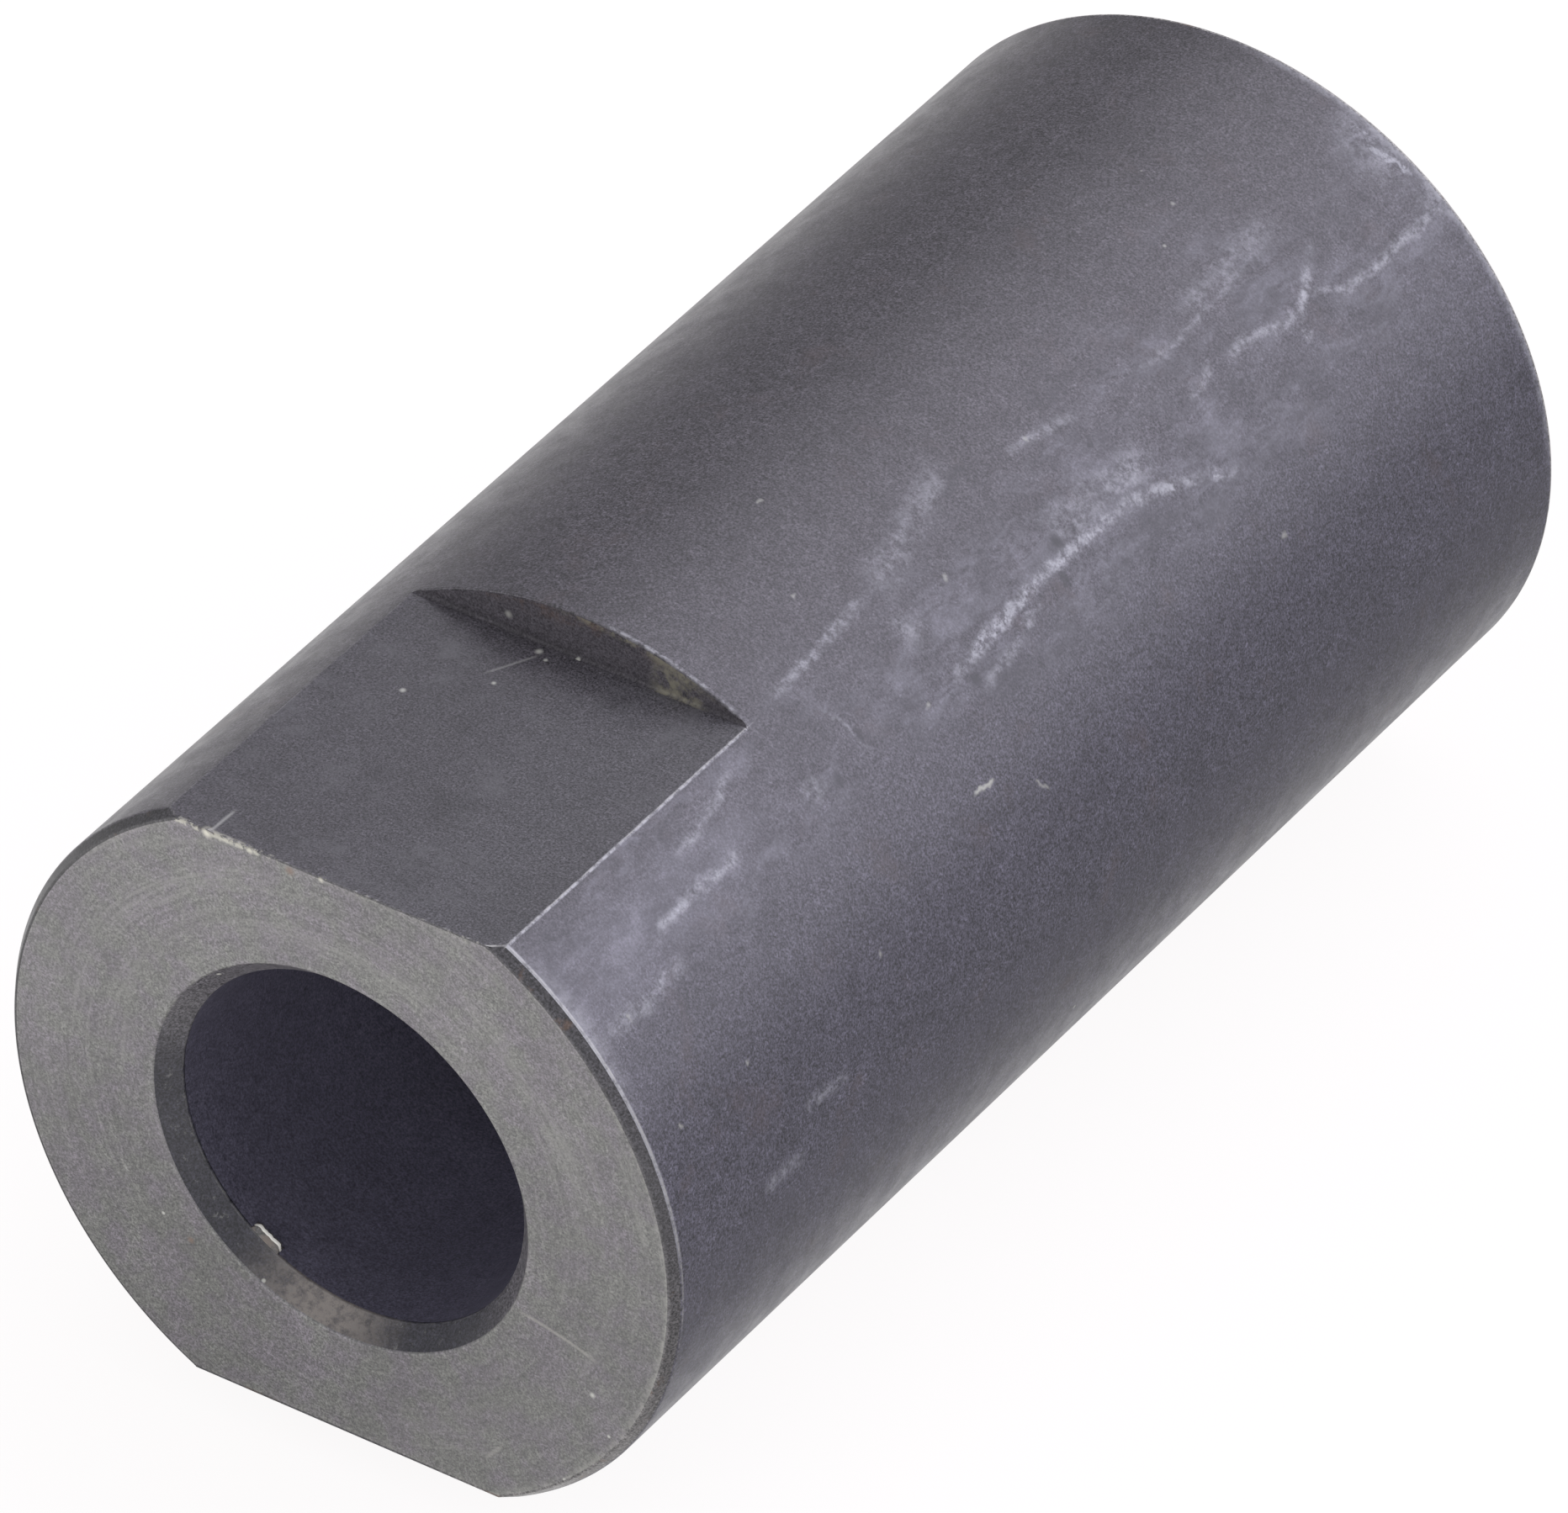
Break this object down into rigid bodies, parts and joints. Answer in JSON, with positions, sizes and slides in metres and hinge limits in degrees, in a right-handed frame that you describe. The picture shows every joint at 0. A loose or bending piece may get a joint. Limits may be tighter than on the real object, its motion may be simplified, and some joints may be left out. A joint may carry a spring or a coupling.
{
  "type": "rigid sleeve coupling",
  "caption": "Plain cylindrical steel sleeve with a smooth through bore, chamfered bore mouths and two opposite wrench flats milled at one end.",
  "frame": {"origin": "on the bore's axis at the middle of the sleeve's length", "axes": "+Y along the bore's axis from the wrench-flat end to the plain end; +Z out of the upper wrench flat"},
  "size_m": [0.03, 0.0604, 0.03],
  "materials": {
    "black_oxide_steel": "black oxide, satin, lightly worn to bright metal on the edges"
  },
  "bodies": {
    "root": {"coupling_sleeve": "black_oxide_steel"}
  },
  "joints": []
}
